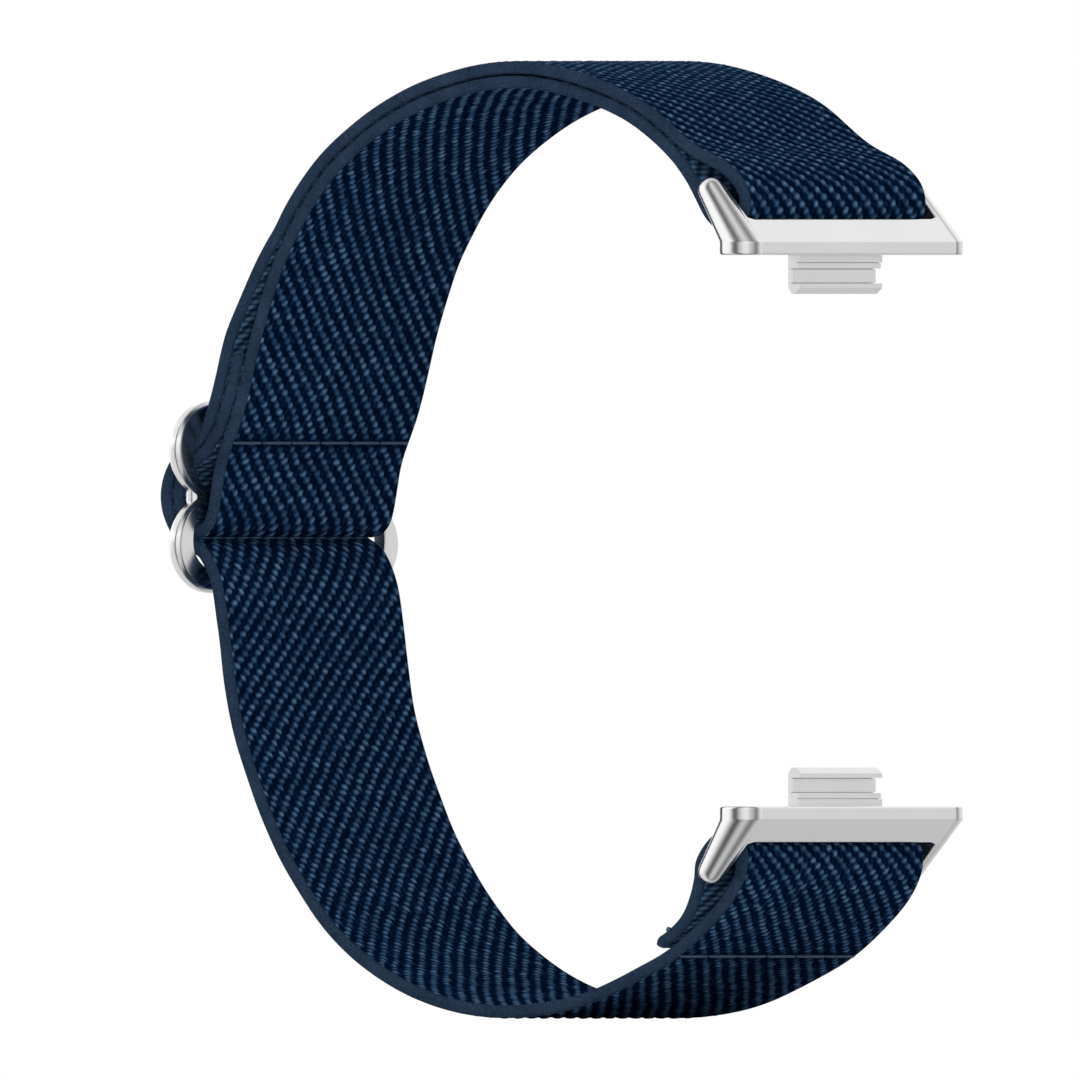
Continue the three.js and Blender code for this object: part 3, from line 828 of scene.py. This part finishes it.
def prism(name, profile, half_width, mirror):
    """A profile of (x, z) points extruded across the band, with its edges eased."""
    profile = np.array(profile)
    if mirror:
        profile = profile[::-1] * [1, -1]
    count = len(profile)
    points = [(x, side * half_width, z) for side in (-1, 1) for x, z in profile]
    mesh = bpy.data.meshes.new(name)
    sides = [(k, (k + 1) % count, (k + 1) % count + count, k + count) for k in range(count)]
    caps = [tuple(range(count))[::-1], tuple(range(count, 2 * count))]
    mesh.from_pydata([Vector(p) * MM for p in points], [], sides + caps)
    piece = bpy.data.objects.new(name, mesh)
    bpy.context.scene.collection.objects.link(piece)
    bevel = piece.modifiers.new("eased edges", "BEVEL")
    bevel.width = 0.02 * MM
    bevel.segments = 2
    bevel.limit_method = "ANGLE"
    bevel.harden_normals = True
    return piece


PLUG_TOP = SEAT_Z + 0.8
PLUG_PROFILE = [
    (PLUG_BACK, PLUG_TOP), (PLUG_BACK, 19.1), (PLUG_BACK + 0.3, 18.6), (PLUG_FRONT - 0.5, 18.6),
    (PLUG_FRONT, 19.06), (PLUG_FRONT, 19.42), (PLUG_FRONT - 0.8, 19.42), (PLUG_FRONT - 0.8, 19.48),
    (PLUG_FRONT - 0.6, 19.48), (PLUG_FRONT - 0.6, 20.54), (PLUG_FRONT - 0.8, 20.54), (PLUG_FRONT - 0.8, 20.6),
    (PLUG_FRONT - 0.12, 20.6), (PLUG_FRONT - 0.12, 21.04), (PLUG_FRONT - 0.3, 21.04),
    (PLUG_FRONT - 0.3, 21.08), (PLUG_FRONT, 21.08), (PLUG_FRONT, PLUG_TOP),
]


def turned(name, profile, mirror, sides=40):
    """A round piece along the spring bar, from (radius, y) pairs."""
    profile = np.array(profile, float)
    angle = np.arange(sides) / sides * 2 * np.pi
    z = -BAR_Z if mirror else BAR_Z
    rings = [[BAR_X + r * np.cos(angle), np.full(sides, y), z + r * np.sin(angle)] for r, y in profile]
    points = np.array(rings).transpose(0, 2, 1).reshape(-1, 3)
    piece = mesh_object(name, points, rings_to_faces(len(profile), sides)[:, ::-1])
    ease = piece.modifiers.new("eased edges", "BEVEL")
    ease.width = 0.04 * MM
    ease.segments = 2
    ease.limit_method = "ANGLE"
    ease.harden_normals = True
    return piece


TUBE_PROFILE = [(0.48, -13.9), (0.48, -14.4), (0.8, -14.4), (0.8, 14.4), (0.48, 14.4), (0.48, 13.9)]


def tip_profile(side):
    """A sprung tip: a head inside the tube and a pivot that reaches into the arm's socket."""
    head, pivot, axis = 0.55, 0.4, 0.001
    profile = [
        (axis, 11.85), (head, 11.85), (head, 13.85), (pivot, 13.85), (pivot, 15.6), (0.25, 15.75), (axis, 15.75),
    ]
    return [(r, y * side) for r, y in profile][::side]


def coil(name, mirror):
    """The spring inside the bar's tube."""
    turns, radius, half_length, wire_radius = 8, 0.4, 10.6, 0.1
    t = np.linspace(0, 1, turns * 16 + 1)
    angle = t * turns * 2 * np.pi
    z = -BAR_Z if mirror else BAR_Z
    path = [BAR_X + radius * np.cos(angle), (2 * t - 1) * half_length, z + radius * np.sin(angle)]
    points, faces, _ = thread_run([np.stack(path, 1)], wire_radius)
    return mesh_object(name, points, faces)


def connector(level):
    """The casting, the plug and the spring bar of the upper or the lower connector."""
    mirror = level == "lower"
    body = f"{level}_connector"

    frame_node = f"{level}_connector_frame"
    casting = field_piece(f"{level}_connector_casting", connector_field, frame_node, 0.11, mirror)
    dress(casting, "connector_metal", SATIN)
    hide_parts(frame_node)
    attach(casting, body)

    plug = prism(f"{level}_plug_body", PLUG_PROFILE, PLUG_HALF_WIDTH, mirror)
    dress(plug, "connector_metal", PLUG_METAL)
    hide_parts(f"{level}_plug")
    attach(plug, body)

    parts = [("tube", turned(f"{level}_bar_tube", TUBE_PROFILE, mirror), body),
             ("coil", coil(f"{level}_bar_coil", mirror), body),
             ("front_tip", turned(f"{level}_bar_front_tip", tip_profile(-1), mirror), f"{level}_front_tip"),
             ("back_tip", turned(f"{level}_bar_back_tip", tip_profile(1), mirror), f"{level}_back_tip")]
    for part, piece, rides_on in parts:
        dress(piece, "spring_bar_steel", SHADED_SPRING_STEEL)
        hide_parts(f"{level}_spring_bar_{part}")
        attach(piece, rides_on)


connector("upper")
connector("lower")


# ---------- floor, light and camera ----------
def studio_floor():
    """A pale, matt floor just below the band."""
    low = cad_box[0].z - 0.3 * MM
    half = 0.6
    corners = [(-half, -half, low), (half, -half, low), (half, half, low), (-half, half, low)]
    mesh = bpy.data.meshes.new("studio_floor")
    mesh.from_pydata(corners, [], [(0, 1, 2, 3)])
    floor = bpy.data.objects.new("studio_floor", mesh)
    bpy.context.scene.collection.objects.link(floor)
    m = Nodes("pale_floor")
    tint = m.ramp(m.noise(40.0), (0.0, linear(238, 238, 238)), (1.0, linear(244, 244, 244)))
    m.set(Base_Color=tint, Roughness=0.9)
    mesh.materials.append(m.material)
    floor.visible_glossy = False


CAMERA_AZIMUTH = math.radians(30)
TOWARDS_CAMERA = Vector((math.sin(CAMERA_AZIMUTH), -math.cos(CAMERA_AZIMUTH), 0))
CAMERA_RIGHT = Vector((math.cos(CAMERA_AZIMUTH), math.sin(CAMERA_AZIMUTH), 0))


def studio_world():
    """White backdrop. What lights the object is a bright horizon with darker bands, as in a light tent."""
    world = bpy.data.worlds.new("light_tent")
    bpy.context.scene.world = world
    world.use_nodes = True
    tree = world.node_tree
    tree.nodes.clear()

    def add(kind, inputs=None, **settings):
        node = tree.nodes.new(kind)
        for key, value in settings.items():
            setattr(node, key, value)
        for key, value in (inputs or {}).items():
            if isinstance(value, bpy.types.NodeSocket):
                tree.links.new(value, node.inputs[key])
            else:
                node.inputs[key].default_value = value
        return node

    where = add("ShaderNodeTexCoord").outputs["Generated"]
    x, y, z = add("ShaderNodeSeparateXYZ", {0: where}).outputs
    heading = add("ShaderNodeMath", {0: y, 1: x}, operation="ARCTAN2").outputs[0]
    turn = add("ShaderNodeMapRange", {0: heading, 1: -math.pi, 2: math.pi}).outputs[0]
    steepness = add("ShaderNodeMath", {0: z}, operation="ABSOLUTE").outputs[0]
    sideways = add("ShaderNodeMath", {0: steepness, 1: -0.05}, operation="MULTIPLY").outputs[0]
    swung = add("ShaderNodeMath", {0: turn, 1: sideways}, operation="ADD").outputs[0]
    round_about = add("ShaderNodeValToRGB", {"Fac": swung})
    headings = [(-180, 1.14), (-130, 1.1), (-117, 0.7), (-105, 0.1), (-87, 0.12), (-74, 0.55), (-54, 0.88),
                (-30, 0.95), (-8, 0.6), (28, 0.2), (44, 0.5), (58, 0.8), (90, 0.86), (120, 0.98), (180, 1.14)]
    set_stops(round_about.color_ramp, [((angle + 180) / 360, value) for angle, value in headings])
    up = add("ShaderNodeMapRange", {0: z, 1: -1.0, 2: 1.0}).outputs[0]
    up_down = add("ShaderNodeValToRGB", {"Fac": up})
    heights = [(0.0, 0.55), (0.2, 0.6), (0.3, 0.62), (0.46, 0.8), (0.54, 0.82), (0.72, 1.0), (0.85, 0.7),
               (1.0, 0.65)]
    set_stops(up_down.color_ramp, heights)
    tent = add("ShaderNodeMix", {"Factor": 1.0, 6: round_about.outputs[0], 7: up_down.outputs[0]},
               data_type="RGBA", blend_type="MULTIPLY")
    seen = add("ShaderNodeLightPath").outputs["Is Camera Ray"]
    backdrop_white = (0.8, 0.8, 0.8, 1)
    mixed = add("ShaderNodeMix", {"Factor": seen, 6: tent.outputs[2], 7: backdrop_white}, data_type="RGBA")
    backdrop = add("ShaderNodeBackground", {"Color": mixed.outputs[2], "Strength": 1.25})
    tree.links.new(backdrop.outputs[0], add("ShaderNodeOutputWorld").inputs[0])


def set_stops(ramp, stops):
    """Gives a colour ramp its grey values."""
    ramp.interpolation = "EASE"
    while len(ramp.elements) < len(stops):
        ramp.elements.new(0.5)
    for element, (position, value) in zip(ramp.elements, stops):
        element.position = position
        element.color = (value, value, value, 1)


def area_light(name, place, size, power):
    """A soft light at a place in metres, aimed at the middle of the object."""
    data = bpy.data.lights.new(name, "AREA")
    data.size = size
    data.energy = power
    lamp = bpy.data.objects.new(name, data)
    lamp.location = place
    lamp.rotation_mode = "QUATERNION"
    lamp.rotation_quaternion = (-Vector(place)).to_track_quat("-Z", "Y")
    lamp.visible_glossy = False
    bpy.context.scene.collection.objects.link(lamp)


def studio_camera():
    """A parallel view from the front, turned 30 degrees."""
    data = bpy.data.cameras.new("camera")
    data.type = "ORTHO"
    data.ortho_scale = 84.84 * MM
    data.clip_end = 10
    camera = bpy.data.objects.new("camera", data)
    middle = CAMERA_RIGHT * (-2.84 * MM) + Vector((0, 0, -0.73 * MM))
    camera.location = middle + TOWARDS_CAMERA * 0.5
    camera.rotation_mode = "QUATERNION"
    camera.rotation_quaternion = (-TOWARDS_CAMERA).to_track_quat("-Z", "Y")
    bpy.context.scene.collection.objects.link(camera)
    bpy.context.scene.camera = camera


studio_floor()
studio_world()
area_light("key_light", TOWARDS_CAMERA * 0.3 - CAMERA_RIGHT * 0.12 + Vector((0, 0, 0.25)), 0.25, 0.4)
area_light("front_light", TOWARDS_CAMERA * 0.6, 0.12, 1.6)
studio_camera()
bpy.context.scene.view_settings.view_transform = "Standard"
